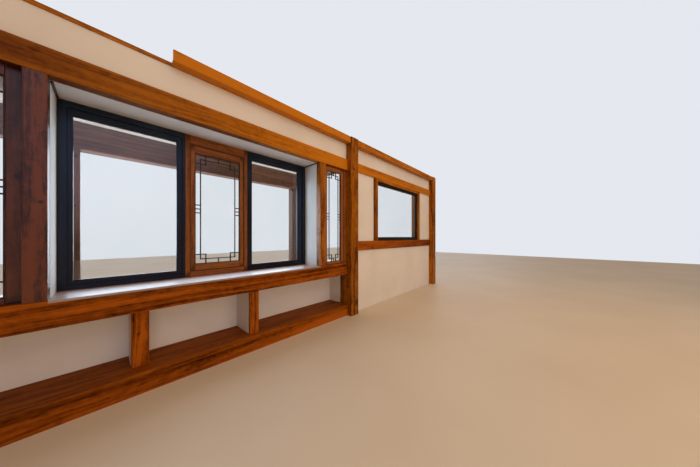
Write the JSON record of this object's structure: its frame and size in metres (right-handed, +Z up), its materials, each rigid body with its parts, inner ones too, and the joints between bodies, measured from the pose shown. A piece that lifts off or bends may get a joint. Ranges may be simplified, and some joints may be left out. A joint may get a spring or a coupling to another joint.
{
  "type": "hanok window wall",
  "caption": "Timber-framed room wall with a projecting window bay, lattice lights, a deep sill, a low step with a niche, and a plain bay with a picture window.",
  "frame": {"origin": "middle of the base: half-way along the wall and half-way from the posts' room faces to the outer beam", "axes": "+Z up, +X along the wall to the right as seen from the room, +Y out to the garden"},
  "size_m": [6.655, 0.956, 2.709],
  "materials": {
    "warm_timber": "varnished, orange brown",
    "red_timber": "varnished, red brown",
    "plaster": "matt white plaster",
    "black_metal": "satin black coating on aluminium",
    "lattice_bar": "dark brown coating",
    "window_glass": "clear"
  },
  "bodies": {
    "root": {"middle_post": "warm_timber", "corner_post": "warm_timber", "window_lintel": "warm_timber", "right_mullion": "warm_timber", "right_strut": "warm_timber", "right_sidelight_jamb": "warm_timber", "right_sidelight_sash": "warm_timber", "cap_board_left": "warm_timber", "cap_board_right": "warm_timber", "cove_board_left": "warm_timber", "cove_board_right": "warm_timber", "right_bay_lintel": "warm_timber", "right_bay_rail": "warm_timber", "picture_stile_left": "warm_timber", "picture_stile_right": "warm_timber", "picture_head_trim": "warm_timber", "left_post": "red_timber", "sill_beam": "red_timber", "left_mullion": "red_timber", "sill_shelf": "red_timber", "ledge_plank": "red_timber", "ledge_kickboard": "red_timber", "left_strut": "red_timber", "middle_window_frame": "red_timber", "middle_sash": "red_timber", "left_sidelight_jamb": "red_timber", "left_sidelight_sash": "red_timber", "outer_post_left": "red_timber", "outer_post_right": "red_timber", "outer_beam": "red_timber", "left_cheek": "plaster", "right_cheek": "plaster", "niche_back": "plaster", "niche_left_end": "plaster", "niche_right_end": "plaster", "left_reveal": "plaster", "right_reveal": "plaster", "eave_deck": "plaster", "upper_wall_left": "plaster", "upper_wall_right": "plaster", "side_panel_left": "plaster", "side_panel_right": "plaster", "lower_wall": "plaster", "left_window_frame": "black_metal", "right_window_frame": "black_metal", "picture_frame": "black_metal", "middle_lattice": "lattice_bar", "left_sidelight_lattice": "lattice_bar", "right_sidelight_lattice": "lattice_bar", "left_window_glass": "window_glass", "right_window_glass": "window_glass", "middle_glass": "window_glass", "left_sidelight_glass": "window_glass", "right_sidelight_glass": "window_glass", "picture_glass": "window_glass"}
  },
  "joints": []
}
